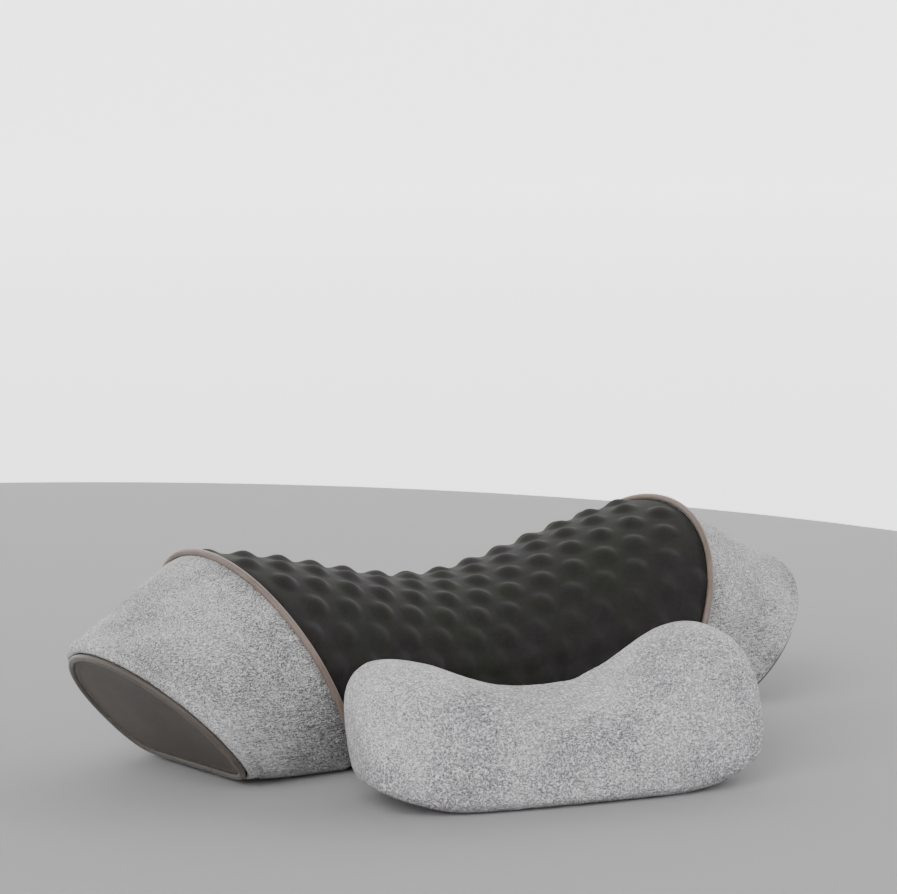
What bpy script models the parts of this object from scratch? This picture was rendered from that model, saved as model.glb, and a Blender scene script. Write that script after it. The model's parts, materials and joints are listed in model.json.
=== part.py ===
"""Shiatsu neck massager: a saddle-shaped massage pillow with fabric end covers and flat end caps, a
worm-driven pair of massage heads inside, and a separate saddle-shaped neck pad in front of it.

Units are metres, +Z is up.  The origin is the centre of the pillow's flat base, +X runs along the
pillow to its control end, and -Y points to the side where the neck pad stands."""

import math

import bmesh
import bpy
from mathutils import Matrix, Vector

MM = 0.001
GAP = 0.3 * MM  # air between two pieces that touch
RUN_FIT = 0.2 * MM  # air round a shaft in its bearing

# Outer form of the pillow.  A section is a superellipse in a plane that leans outwards by its tilt;
# below the floor it is cut flat.  MIDDLE, SEAM and END are the sections at x = 0, at the ring piping
# and just behind the end cap: centre x, centre z, half width, half height up the slant, tilt in
# degrees, and how far the centre lies off the middle plane, because the ends bend forwards a little.
MIDDLE = (0.0, 36 * MM, 66 * MM, 49 * MM, 0.0, 0.0)
SEAM = (122.2 * MM, 43.1 * MM, 73.4 * MM, 77.7 * MM, 25.8, 0.0)
END = (185.3 * MM, 28.1 * MM, 60.0 * MM, 60.0 * MM, 44.0, -7.5 * MM)
CAP_CENTRE = (188.1 * MM, -7.5 * MM, 25.4 * MM)  # centre of an end cap's outside face
ROUNDNESS = 2.05
BOTTOM_BLEND = 8 * MM  # how far the side rounds into the flat base, from the middle to the seam
END_BLEND = 16 * MM  # and at the end cap
END_LIFT = 2.0 * MM  # the base rises this much at the end cap
SECTION_POINTS = 28
FABRIC = 2.4 * MM
HEAT_FILM = 0.6 * MM
SOFT_GAP = 0.7 * MM  # air between soft layers
FOAM_INSET = FABRIC + HEAT_FILM + 2 * SOFT_GAP
END_FOAM_INSET = FABRIC + SOFT_GAP

# Trim
PIPING_RADIUS = 1.8 * MM
PIPING_FOOT = 3.0 * MM  # the ring piping goes into the seam of the base at this height
CAP_PIPING_RADIUS = 1.6 * MM
CAP_THICK = 3.0 * MM
CAP_RADIUS = 55.4 * MM  # half width of the end cap
CAP_FLAT = -28.7 * MM  # its straight lower edge, measured down the slant from the centre
CAP_CORNER = 18 * MM  # how far its side rounds into that edge
CAP_EDGE = 0.8 * MM
TRIM_POINTS = 40
BEAD_RESOLUTION = 1

# Chassis: a two-part plastic box inside the foam
BOX_HALF_X = 94 * MM
BOX_HALF_Y = 46 * MM
BOX_BOTTOM = 8.2 * MM
BOX_SPLIT = 34 * MM
BOX_TOP = 50 * MM
WALL = 2.4 * MM
FLOOR = BOX_BOTTOM + WALL

# Drive: a double-ended motor with a worm on each side, and a worm wheel under each massage head
MODULE = 1.5 * MM
WHEEL_TEETH = 30
WHEEL_PITCH = MODULE * WHEEL_TEETH / 2
WORM_PITCH = 6 * MM
LEAD = math.pi * MODULE  # one start: the thread advances one tooth pitch in a turn
HEAD_X = 50 * MM
WORM_Y = -(WHEEL_PITCH + WORM_PITCH)
MESH_Z = 24 * MM
WHEEL_FACE = 8 * MM
WHEEL_ADDENDUM = 1.2 * MM
WHEEL_DEDENDUM = 1.7 * MM
WHEEL_TIP_HALF = 0.45 * MM  # half width of a tooth at its tip
WHEEL_ROOT_HALF = 1.25 * MM
WORM_LENGTH = 19 * MM
THREAD_DEPTH = 1.3 * MM  # above the pitch line
THREAD_ROOT_GAP = 0.5 * MM  # the core lies this much deeper below the pitch line
THREAD_SINK = 0.4 * MM  # the thread reaches into the core by this
THREAD_TIP_HALF = 0.30 * MM
THREAD_ROOT_HALF = 1.05 * MM
THREAD_STEPS = 12  # sections in one turn
SHAFT = 4 * MM  # radius of an output shaft
MOTOR_SHAFT = 1.6 * MM
MOTOR_SHAFT_HALF = 69 * MM
UPPER_BUSH = 8 * MM
BEARING_X = 66.5 * MM
BEARING_HALF_X = 2.5 * MM
BEARING_HALF_Y = 5 * MM
BELL_HALF = 1.4 * MM
MOTOR_RADIUS = 12.5 * MM
MOTOR_HALF = 20 * MM
CARRIER_Z = 52 * MM
CARRIER_THICK = 4 * MM
CARRIER_RADIUS = 31 * MM
ORBIT = 24 * MM
BALL_RADIUS = 13 * MM
BALL_HALF_HEIGHT = 9 * MM
BALL_Z = CARRIER_Z + CARRIER_THICK + GAP + BALL_HALF_HEIGHT + 1 * MM
PIN = 3 * MM
WELL_RADIUS = 40 * MM

# Battery: two cells of the common 18 mm size, end to end along the back of the chassis
CELL_RADIUS = 9 * MM
CELL_HALF = 32.5 * MM
CELL_Y = 33.8 * MM

# Controls in the right end cap, measured from the cap's centre across its width and up its slant
BUTTON_RADIUS = 7 * MM
BUTTON_AT = ((-14 * MM, 14 * MM), (14 * MM, 14 * MM))
BUTTON_NAMES = ("power_button", "heat_button")
BUTTON_PROUD = 0.8 * MM
BUTTON_STEM = 2 * MM
LIGHT_AT = (0.0, 14 * MM)
LIGHT_RADIUS = 1.5 * MM
SOCKET_AT = (0.0, -12 * MM)
SLOT_POINTS = 20
BOARD_DEPTH = 11 * MM  # behind the outside face of the cap

# Neck pad: superellipse sections along a straight spine, lower in the middle
PAD_CENTRE = (-48.5 * MM, -167 * MM)
PAD_TURN = -0.27  # radians about +Z
PAD_HALF = 109.5 * MM
PAD_DEPTH = 43 * MM  # half its width, front to back
PAD_LOW = 49 * MM
PAD_RISE = (30 * MM, 39 * MM)  # the left end and the higher right end
PAD_RISE_POWER = 2.6
PAD_ROCK = 14 * MM  # its foot curves up by this towards the ends
PAD_FLAT_SHARE = 0.5  # of its half length, measured from the middle
PAD_RISE_AT = 0.96  # share of the half length at which the ends are highest
PAD_LEAN = 0.37  # the top leans back by this share of its height
PAD_END_POWER = 3.7
PAD_STATIONS = 13
PAD_POINTS = 22
PAD_ROUNDNESS = 2.8
PAD_SINK = 11 * MM  # how far its sections would reach below the floor if its foot weren't flat
PAD_BLEND = 7 * MM
PAD_LIMIT = 0.955  # share of the spine at which its rounded ends close
PAD_OPENING_HALF = (70 * MM, 2 * MM)  # the slit for the core, along the middle of its foot

COLOURS = {
    "charcoal_stretch_knit": ((0.060, 0.060, 0.058), 0.8, 0.0),
    "heather_grey_knit": ((0.42, 0.42, 0.43), 0.9, 0.0),
    "taupe_piping": ((0.30, 0.24, 0.22), 0.45, 0.0),
    "olive_plastic": ((0.085, 0.075, 0.068), 0.55, 0.0),
    "foam": ((0.75, 0.72, 0.62), 0.95, 0.0),
    "chassis_plastic": ((0.06, 0.06, 0.065), 0.5, 0.0),
    "gear_nylon": ((0.80, 0.79, 0.74), 0.4, 0.0),
    "steel": ((0.55, 0.56, 0.58), 0.3, 1.0),
    "brass": ((0.75, 0.58, 0.28), 0.3, 1.0),
    "motor_steel": ((0.45, 0.46, 0.48), 0.35, 1.0),
    "copper": ((0.72, 0.36, 0.18), 0.35, 1.0),
    "node_silicone": ((0.55, 0.18, 0.10), 0.5, 0.0),
    "circuit_board": ((0.03, 0.16, 0.07), 0.5, 0.0),
    "cell_wrap": ((0.08, 0.22, 0.50), 0.4, 0.0),
    "heating_film": ((0.55, 0.30, 0.10), 0.4, 0.0),
    "light_lens": ((0.80, 0.85, 0.85), 0.2, 0.0),
}


def clear_scene():
    for obj in list(bpy.data.objects):
        bpy.data.objects.remove(obj, do_unlink=True)


def new_collection(name):
    made = bpy.data.collections.new(name)
    bpy.context.scene.collection.children.link(made)
    return made


clear_scene()
PARTS = new_collection("shiatsu_neck_massager")
CUTTERS = new_collection("cutters")


def material(slot):
    found = bpy.data.materials.get(slot)
    if found:
        return found
    colour, roughness, metallic = COLOURS[slot]
    made = bpy.data.materials.new(slot)
    made.use_nodes = True
    shader = made.node_tree.nodes["Principled BSDF"]
    shader.inputs["Base Color"].default_value = (*colour, 1.0)
    shader.inputs["Roughness"].default_value = roughness
    shader.inputs["Metallic"].default_value = metallic
    return made


def add_piece(name, slot, bm, matrix=None):
    """Turns a bmesh into a part; with no slot it becomes a cutter."""
    bmesh.ops.recalc_face_normals(bm, faces=bm.faces[:])
    mesh = bpy.data.meshes.new(name)
    bm.to_mesh(mesh)
    bm.free()
    mesh.shade_smooth()
    mesh.set_sharp_from_angle(angle=math.radians(35))
    obj = bpy.data.objects.new(name, mesh)
    if matrix is not None:
        obj.matrix_world = matrix
    if slot:
        mesh.materials.append(material(slot))
        PARTS.objects.link(obj)
    else:
        obj.hide_render = True
        obj.display_type = "WIRE"
        CUTTERS.objects.link(obj)
    return obj


def boolean(obj, other, operation="DIFFERENCE"):
    cut = obj.modifiers.new(other.name, "BOOLEAN")
    cut.operation = operation
    cut.object = other
    cut.solver = "EXACT"


# ---------------------------------------------------------------- section and loft maths


def mix(a, b, t):
    return a + (b - a) * t


def smooth_step(t):
    t = min(max(t, 0.0), 1.0)
    return t * t * (3 - 2 * t)


def power_cosine(angle, roundness):
    c = math.cos(angle)
    return math.copysign(abs(c) ** (2 / roundness), c)


def soft_floor(value, floor, blend):
    """The larger of value and floor, with a rounded meeting."""
    if value <= floor - blend:
        return floor
    if value >= floor + blend:
        return value
    return floor + (value - floor + blend) ** 2 / (4 * blend)


def body_section(station):
    """The six numbers of a section.  0 is the middle, 1 the seam at the ring piping, 2 the end."""
    if station <= 1:
        swell = 0.5 * (math.sin(math.pi * station / 2) ** 2 + station**2)
        return [
            MIDDLE[0] + SEAM[0] * station,
            mix(MIDDLE[1], SEAM[1], swell),
            mix(MIDDLE[2], SEAM[2], station**2),
            mix(MIDDLE[3], SEAM[3], swell),
            SEAM[4] * station,
            MIDDLE[5],
        ]
    return [mix(a, b, station - 1) for a, b in zip(SEAM, END)]


def body_ring(station, side, inset=0.0, arc=(0.0, 1.0), points=SECTION_POINTS):
    """Points round the pillow at a station; side is -1 or +1, inset moves them inwards."""
    cx, cz, half_y, half_s, tilt, cy = body_section(station)
    lean = math.radians(tilt)
    lift = END_LIFT * smooth_step((station - 1.6) / 0.4)
    floor = (lift + inset - cz) / math.cos(lean)
    blend = mix(BOTTOM_BLEND, END_BLEND, max(station - 1, 0.0))
    closed = arc == (0.0, 1.0)
    made = []
    for i in range(points):
        share = arc[0] + (arc[1] - arc[0]) * i / (points if closed else points - 1)
        angle = 2 * math.pi * share - math.pi / 2
        across = (half_y - inset) * power_cosine(angle, ROUNDNESS)
        up = (half_s - inset) * power_cosine(angle - math.pi / 2, ROUNDNESS)
        up = soft_floor(up, floor, blend)
        x = cx + up * math.sin(lean)
        made.append(Vector((side * x, cy + across, cz + up * math.cos(lean))))
    return made


def skin_rings(bm, rings, closed=True):
    """Joins each ring of points to the next with quads and gives back the rings of vertices."""
    rows = [[bm.verts.new(p) for p in ring] for ring in rings]
    count = len(rows[0])
    for low, high in zip(rows, rows[1:]):
        for i in range(count if closed else count - 1):
            j = (i + 1) % count
            bm.faces.new((low[i], low[j], high[j], high[i]))
    return rows


def bridge(bm, first, second, closed=True):
    count = len(first)
    for i in range(count if closed else count - 1):
        j = (i + 1) % count
        bm.faces.new((first[i], first[j], second[j], second[i]))


def solid_loft(rings):
    bm = bmesh.new()
    rows = skin_rings(bm, rings)
    for row in (rows[0], rows[-1]):
        bm.faces.new(row)
    return bm


def tube_loft(outer, inner):
    """A sleeve that is open at both ends, with a wall between two lofts."""
    bm = bmesh.new()
    out_rows = skin_rings(bm, outer)
    in_rows = skin_rings(bm, inner)
    bridge(bm, out_rows[0], in_rows[0])
    bridge(bm, out_rows[-1], in_rows[-1])
    return bm


def body_stations(low, high, count):
    """Evenly spaced stations from one end of a piece to the other."""
    return [low + (high - low) * i / (count - 1) for i in range(count)]


def signed_ring(station, **kwargs):
    """A ring for a signed station, wound the same way on both sides of the middle."""
    return body_ring(abs(station), -1 if station < 0 else 1, **kwargs)


# ---------------------------------------------------------------- simple solids


def cylinder(radius, low, high, segments=24, centre=(0, 0)):
    bm = bmesh.new()
    bmesh.ops.create_cone(
        bm, cap_ends=True, segments=segments, radius1=radius, radius2=radius, depth=high - low
    )
    bmesh.ops.translate(bm, verts=bm.verts[:], vec=(centre[0], centre[1], (low + high) / 2))
    return bm


def box(low, high, bevel=0.0, edges=None):
    bm = bmesh.new()
    bmesh.ops.create_cube(bm, size=1)
    size = Vector(high) - Vector(low)
    bmesh.ops.scale(bm, verts=bm.verts[:], vec=size)
    bmesh.ops.translate(bm, verts=bm.verts[:], vec=(Vector(low) + Vector(high)) / 2)
    if bevel:
        chosen = [e for e in bm.edges if edges is None or edges(e)]
        bmesh.ops.bevel(bm, geom=chosen, offset=bevel, segments=2, affect="EDGES", profile=0.5)
    return bm


def turned(name, slot, profile, steps=24, matrix=None):
    """A turned piece: the profile is (radius, height) round its cross-section, spun about local Z."""
    mesh = bpy.data.meshes.new(name)
    points = [(r, 0.0, z) for r, z in profile]
    edges = [(i, (i + 1) % len(points)) for i in range(len(points))]
    mesh.from_pydata(points, edges, [])
    mesh.materials.append(material(slot))
    obj = bpy.data.objects.new(name, mesh)
    if matrix is not None:
        obj.matrix_world = matrix
    PARTS.objects.link(obj)
    screw = obj.modifiers.new("turn", "SCREW")
    screw.steps = steps
    screw.render_steps = steps
    screw.use_merge_vertices = True
    screw.merge_threshold = 0.00001
    screw.use_smooth_shade = True
    return obj


def ring_profile(inner, outer, low, high):
    """A plain washer or bush, wound so that its faces point outwards."""
    return [(outer, high), (outer, low), (inner, low), (inner, high)]


def tube_along(name, slot, points, radius, cyclic):
    """A round bead through the points, with closed ends if it isn't a loop."""
    curve = bpy.data.curves.new(name, "CURVE")
    curve.dimensions = "3D"
    curve.bevel_depth = radius
    curve.bevel_resolution = BEAD_RESOLUTION
    curve.use_fill_caps = True
    spline = curve.splines.new("POLY")
    spline.points.add(len(points) - 1)
    for point, place in zip(spline.points, points):
        point.co = (*place, 1.0)
    spline.use_cyclic_u = cyclic
    curve.materials.append(material(slot))
    obj = bpy.data.objects.new(name, curve)
    PARTS.objects.link(obj)
    return obj


def along_x(x, y=0.0, z=0.0):
    """Local Z turned to point along +X."""
    return Matrix.Translation((x, y, z)) @ Matrix.Rotation(math.pi / 2, 4, "Y")


def at(x, y=0.0, z=0.0):
    return Matrix.Translation((x, y, z))


SIDES = (("left", -1), ("right", 1))

# ---------------------------------------------------------------- covers, foam and heating film


COVER_STATIONS = body_stations(-0.992, 0.992, 13)
END_STATIONS = body_stations(1.008, 2.0, 5)


def make_covers():
    outer = [signed_ring(s) for s in COVER_STATIONS]
    inner = [signed_ring(s, inset=FABRIC) for s in COVER_STATIONS]
    add_piece("massage_cover", "charcoal_stretch_knit", tube_loft(outer, inner))
    for name, side in SIDES:
        outer = [body_ring(s, side) for s in END_STATIONS]
        inner = [body_ring(s, side, inset=FABRIC) for s in END_STATIONS]
        add_piece(f"end_cover_{name}", "heather_grey_knit", tube_loft(outer, inner))


def make_heating_film():
    """A thin sheet over the top of the foam, from side to side."""
    stations = COVER_STATIONS[2:-2]
    arc = (0.25, 0.75)
    count = SECTION_POINTS // 2 + 1
    bm = bmesh.new()
    sheets = []
    for inset in (FABRIC + SOFT_GAP, FABRIC + SOFT_GAP + HEAT_FILM):
        rings = [signed_ring(s, inset=inset, arc=arc, points=count) for s in stations]
        sheets.append(skin_rings(bm, rings, closed=False))
    top, under = sheets
    bridge(bm, top[0], under[0], closed=False)
    bridge(bm, top[-1], under[-1], closed=False)
    bridge(bm, [row[0] for row in top], [row[0] for row in under], closed=False)
    bridge(bm, [row[-1] for row in top], [row[-1] for row in under], closed=False)
    add_piece("heating_film", "heating_film", bm)


def make_foam():
    stations = [-0.985, *COVER_STATIONS[1:-1], 0.985]
    foam = add_piece(
        "foam_saddle",
        "foam",
        solid_loft([signed_ring(s, inset=FOAM_INSET) for s in stations]),
    )
    room = box(
        (-BOX_HALF_X - GAP, -BOX_HALF_Y - GAP, BOX_BOTTOM - GAP),
        (BOX_HALF_X + GAP, BOX_HALF_Y + GAP, BOX_TOP + GAP),
    )
    boolean(foam, add_piece("chassis_room", None, room))
    for name, side in SIDES:
        well = cylinder(WELL_RADIUS, BOX_TOP - 1 * MM, 130 * MM, 28, (side * HEAD_X, 0))
        boolean(foam, add_piece(f"head_well_{name}", None, well))
        stations = [1.02, *END_STATIONS[1:-1], 1.95]
        core = solid_loft([body_ring(s, side, inset=END_FOAM_INSET) for s in stations])
        add_piece(f"foam_core_{name}", "foam", core)


# ---------------------------------------------------------------- piping and end caps


def make_piping():
    for name, side in SIDES:
        loop = body_ring(1.0, side, inset=-(PIPING_RADIUS + 2 * GAP), points=TRIM_POINTS)
        beads = [p for p in loop if p.z > PIPING_FOOT]
        tube_along(f"ring_piping_{name}", "taupe_piping", beads, PIPING_RADIUS, False)


def cap_frame(side):
    """Local X across the cap, local Y up its slant, local Z straight out of it."""
    lean = math.radians(END[4])
    up = Vector((side * math.sin(lean), 0, math.cos(lean)))
    out = Vector((side * math.cos(lean), 0, -math.sin(lean)))
    across = up.cross(out)
    frame = Matrix((across, up, out)).transposed().to_4x4()
    return at(side * CAP_CENTRE[0], *CAP_CENTRE[1:]) @ frame


def cap_outline(radius, flat, count):
    """Points of the cap's D shape in its own plane: round, with a straight lower edge."""
    made = []
    for i in range(count):
        angle = 2 * math.pi * i / count - math.pi / 2
        across = radius * power_cosine(angle, ROUNDNESS)
        up = radius * power_cosine(angle - math.pi / 2, ROUNDNESS)
        made.append((across, soft_floor(up, flat, CAP_CORNER)))
    return made


def make_caps():
    for name, side in SIDES:
        frame = cap_frame(side)
        rings = []
        for depth, shrink in ((-CAP_THICK, 0.0), (-CAP_EDGE, 0.0), (0.0, CAP_EDGE)):
            outline = cap_outline(CAP_RADIUS - shrink, CAP_FLAT + shrink, TRIM_POINTS)
            rings.append([Vector((x, y, depth)) for x, y in outline])
        cap = add_piece(f"end_cap_{name}", "olive_plastic", solid_loft(rings), frame)
        bead_radius = CAP_RADIUS + CAP_PIPING_RADIUS + GAP
        bead = cap_outline(bead_radius, CAP_FLAT - CAP_PIPING_RADIUS - GAP, TRIM_POINTS)
        places = [frame @ Vector((x, y, 0.5 * MM)) for x, y in bead]
        tube_along(f"cap_piping_{name}", "taupe_piping", places, CAP_PIPING_RADIUS, True)
        if side > 0:
            fit_controls(cap, frame)


def slot_shape(half_length, half_height, low, high):
    """A flat-sided oval block, long across the cap."""
    rings = []
    for z in (low, high):
        ring = []
        for i in range(SLOT_POINTS):
            angle = 2 * math.pi * (i + 0.5) / SLOT_POINTS
            shift = half_length - half_height
            x = half_height * math.cos(angle) + math.copysign(shift, math.cos(angle))
            ring.append(Vector((x, half_height * math.sin(angle), z)))
        rings.append(ring)
    return solid_loft(rings)


def fit_controls(cap, frame):
    """Buttons, light and charging socket in the right end cap, on one small board behind it."""
    through = (-CAP_THICK - 1 * MM, 1 * MM)
    for name, (x, y) in zip(BUTTON_NAMES, BUTTON_AT):
        place = frame @ at(x, y)
        hole = cylinder(BUTTON_RADIUS + GAP, *through)
        boolean(cap, add_piece(f"{name}_hole", None, hole, place))
        profile = [
            (0.0, BUTTON_PROUD),
            (BUTTON_RADIUS - 1 * MM, BUTTON_PROUD),
            (BUTTON_RADIUS, 0.2 * MM),
            (BUTTON_RADIUS, -CAP_THICK),
            (BUTTON_STEM, -CAP_THICK),
            (BUTTON_STEM, -CAP_THICK - 4 * MM),
            (0.0, -CAP_THICK - 4 * MM),
        ]
        turned(name, "chassis_plastic", profile, 24, place)
    place = frame @ at(*LIGHT_AT)
    hole = cylinder(LIGHT_RADIUS + GAP, *through, segments=12)
    boolean(cap, add_piece("light_hole", None, hole, place))
    lens = cylinder(LIGHT_RADIUS, -BOARD_DEPTH + 0.4 * MM, 0.0, 12)
    add_piece("status_light", "light_lens", lens, place)
    place = frame @ at(*SOCKET_AT)
    boolean(cap, add_piece("socket_hole", None, slot_shape(5 * MM, 2.1 * MM, *through), place))
    socket = add_piece(
        "usb_c_socket", "steel", slot_shape(4.6 * MM, 1.7 * MM, -8.5 * MM, -0.3 * MM), place
    )
    mouth = slot_shape(4.2 * MM, 1.3 * MM, -7 * MM, 1 * MM)
    boolean(socket, add_piece("socket_mouth", None, mouth, place))
    board = box((-24 * MM, -16 * MM, -BOARD_DEPTH - 1.6 * MM), (24 * MM, 20 * MM, -BOARD_DEPTH))
    add_piece("button_board", "circuit_board", board, frame)
    room = box((-26 * MM, -18 * MM, -BOARD_DEPTH - 4 * MM), (26 * MM, 22 * MM, 2 * MM))
    room_cutter = add_piece("button_board_room", None, room, frame)
    boolean(bpy.data.objects["foam_core_right"], room_cutter)


# ---------------------------------------------------------------- chassis


def upright_or_low(edge):
    """The upright edges of a box and those round its bottom."""
    a, b = (v.co for v in edge.verts)
    return abs(a.z - b.z) > 1 * MM or max(a.z, b.z) < BOX_BOTTOM + 1 * MM


def upright(edge):
    a, b = (v.co for v in edge.verts)
    return abs(a.z - b.z) > 1 * MM


SCREW_AT = [(x * 86 * MM, y * 38 * MM) for y in (-1, 1) for x in (-1, 1)]
POST_RADIUS = 3.6 * MM
SCREW_RADIUS = 1.5 * MM
SCREW_HEAD = 2.6 * MM
SCREW_NAMES = ("front_left", "front_right", "rear_left", "rear_right")


def make_chassis():
    low = (-BOX_HALF_X, -BOX_HALF_Y, BOX_BOTTOM)
    tray = box(low, (BOX_HALF_X, BOX_HALF_Y, BOX_SPLIT), 7 * MM, upright_or_low)
    lower = add_piece("lower_chassis", "chassis_plastic", tray)
    hollow = box(
        (-BOX_HALF_X + WALL, -BOX_HALF_Y + WALL, FLOOR),
        (BOX_HALF_X - WALL, BOX_HALF_Y - WALL, BOX_SPLIT + 5 * MM),
        5 * MM,
        upright,
    )
    boolean(lower, add_piece("lower_hollow", None, hollow))
    lid = box(
        (-BOX_HALF_X, -BOX_HALF_Y, BOX_SPLIT + GAP), (BOX_HALF_X, BOX_HALF_Y, BOX_TOP), 7 * MM, upright
    )
    upper = add_piece("upper_chassis", "chassis_plastic", lid)
    hollow = box(
        (-BOX_HALF_X + WALL, -BOX_HALF_Y + WALL, BOX_SPLIT - 5 * MM),
        (BOX_HALF_X - WALL, BOX_HALF_Y - WALL, BOX_TOP - WALL),
        5 * MM,
        upright,
    )
    boolean(upper, add_piece("upper_hollow", None, hollow))
    for name, side in SIDES:
        seat = cylinder(UPPER_BUSH + GAP, BOX_TOP - 5 * MM, BOX_TOP + 5 * MM, 24, (side * HEAD_X, 0))
        boolean(upper, add_piece(f"bush_seat_{name}", None, seat))
    for index, (x, y) in enumerate(SCREW_AT):
        make_chassis_screw(index, x, y, lower, upper)


def make_chassis_screw(index, x, y, lower, upper):
    """A screw through a post of the lid into a post of the tray."""
    post = cylinder(POST_RADIUS, FLOOR - 1 * MM, BOX_SPLIT, 10, (x, y))
    boolean(lower, add_piece(f"tray_post_{index}", None, post), "UNION")
    post = cylinder(POST_RADIUS, BOX_SPLIT + GAP, BOX_TOP - 1 * MM, 10, (x, y))
    boolean(upper, add_piece(f"lid_post_{index}", None, post), "UNION")
    bore = cylinder(SCREW_RADIUS + GAP, BOX_SPLIT - 12 * MM, BOX_TOP + 1 * MM, 10, (x, y))
    for part in (lower, upper):
        boolean(part, add_piece(f"screw_bore_{index}_{part.name}", None, bore.copy()))
    bore.free()
    sink = cylinder(SCREW_HEAD + 0.4 * MM, BOX_TOP - 2.2 * MM, BOX_TOP + 1 * MM, 12, (x, y))
    boolean(upper, add_piece(f"screw_sink_{index}", None, sink))
    head_top = BOX_TOP - 0.2 * MM
    profile = [
        (0.0, head_top),
        (SCREW_HEAD, head_top),
        (SCREW_HEAD, BOX_TOP - 1.8 * MM),
        (SCREW_RADIUS, BOX_TOP - 1.8 * MM),
        (SCREW_RADIUS, BOX_SPLIT - 11 * MM),
        (0.0, BOX_SPLIT - 11 * MM),
    ]
    turned(f"chassis_screw_{SCREW_NAMES[index]}", "steel", profile, 12, at(x, y))


# ---------------------------------------------------------------- motor, worms and wheels


def make_motor():
    for name, side in SIDES:
        bell = ring_profile(MOTOR_SHAFT + GAP, MOTOR_RADIUS, -BELL_HALF, BELL_HALF)
        place = along_x(side * (MOTOR_HALF + BELL_HALF + GAP), WORM_Y, MESH_Z)
        turned(f"motor_bell_{name}", "chassis_plastic", bell, 28, place)
    shell = ring_profile(MOTOR_RADIUS - 1 * MM, MOTOR_RADIUS, -MOTOR_HALF, MOTOR_HALF)
    turned("motor_can", "motor_steel", shell, 28, along_x(0, WORM_Y, MESH_Z))
    rotor = ring_profile(MOTOR_SHAFT + GAP, 8 * MM, -10 * MM, 10 * MM)
    turned("motor_rotor", "copper", rotor, 20, along_x(-4 * MM, WORM_Y, MESH_Z))
    commutator = ring_profile(MOTOR_SHAFT + GAP, 3.4 * MM, -3 * MM, 3 * MM)
    turned("commutator", "copper", commutator, 16, along_x(11 * MM, WORM_Y, MESH_Z))
    shaft = cylinder(MOTOR_SHAFT, -MOTOR_SHAFT_HALF, MOTOR_SHAFT_HALF, 12)
    add_piece("motor_shaft", "steel", shaft, along_x(0, WORM_Y, MESH_Z))
    for name, side in SIDES:
        x = side * BEARING_X
        block = box(
            (x - BEARING_HALF_X, WORM_Y - BEARING_HALF_Y, FLOOR + GAP),
            (x + BEARING_HALF_X, WORM_Y + BEARING_HALF_Y, MESH_Z + 6 * MM),
        )
        bush = add_piece(f"worm_bearing_{name}", "gear_nylon", block)
        bore = cylinder(MOTOR_SHAFT + RUN_FIT, -5 * MM, 5 * MM, 16)
        place = along_x(side * BEARING_X, WORM_Y, MESH_Z)
        boolean(bush, add_piece(f"worm_bearing_bore_{name}", None, bore, place))


def thread_point(turn, along, radius, hand):
    angle = hand * 2 * math.pi * turn
    return Vector((along, radius * math.cos(angle), radius * math.sin(angle)))


def make_worm(name, side, hand):
    """A core with one helical thread joined on.  A thread crosses the wheel side of the axis at x = 0."""
    turns = (WORM_LENGTH - 3 * MM) / LEAD
    steps = round(turns * THREAD_STEPS)
    tip = WORM_PITCH + THREAD_DEPTH
    root = WORM_PITCH - THREAD_DEPTH - THREAD_ROOT_GAP
    foot = root - THREAD_SINK
    corners = (
        (-THREAD_ROOT_HALF, foot),
        (-THREAD_TIP_HALF, tip),
        (THREAD_TIP_HALF, tip),
        (THREAD_ROOT_HALF, foot),
    )
    rings = []
    for i in range(steps + 1):
        turn = (i - steps / 2) / THREAD_STEPS
        place = turn * LEAD
        rings.append([thread_point(turn, place + a, r, hand) for a, r in corners])
    centre = Matrix.Translation((side * HEAD_X, WORM_Y, MESH_Z))
    thread = add_piece(f"worm_thread_{name}", None, solid_loft(rings), centre)
    core = cylinder(root, -WORM_LENGTH / 2, WORM_LENGTH / 2, 24)
    worm = add_piece(f"worm_{name}", "brass", core, centre @ along_x(0))
    boolean(worm, thread, "UNION")
    bore = cylinder(MOTOR_SHAFT + RUN_FIT, -WORM_LENGTH, WORM_LENGTH, 16)
    boolean(worm, add_piece(f"worm_bore_{name}", None, bore, centre @ along_x(0)))


def wheel_outline():
    """Trapezoid teeth; a tooth space faces -Y, where the worm's thread enters it."""
    tip = WHEEL_PITCH + WHEEL_ADDENDUM
    root = WHEEL_PITCH - WHEEL_DEDENDUM
    made = []
    for tooth in range(WHEEL_TEETH):
        middle = -math.pi / 2 + 2 * math.pi * (tooth + 0.5) / WHEEL_TEETH
        for radius, half in (
            (root, -WHEEL_ROOT_HALF),
            (tip, -WHEEL_TIP_HALF),
            (tip, WHEEL_TIP_HALF),
            (root, WHEEL_ROOT_HALF),
        ):
            angle = middle + half / radius
            made.append((radius * math.cos(angle), radius * math.sin(angle)))
    return made


def make_wheel(name, side, hand):
    """A helical worm wheel: its outline turns with height by the worm's lead angle."""
    slope = hand * LEAD / (2 * math.pi * WORM_PITCH) / WHEEL_PITCH
    rings = []
    for z in (-WHEEL_FACE / 2, WHEEL_FACE / 2):
        turn = Matrix.Rotation(slope * z, 4, "Z")
        rings.append([turn @ Vector((x, y, z)) for x, y in wheel_outline()])
    place = at(side * HEAD_X, 0, MESH_Z)
    wheel = add_piece(f"worm_wheel_{name}", "gear_nylon", solid_loft(rings), place)
    bore = cylinder(SHAFT + GAP, -WHEEL_FACE, WHEEL_FACE, 24)
    boolean(wheel, add_piece(f"wheel_bore_{name}", None, bore, place))


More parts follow.
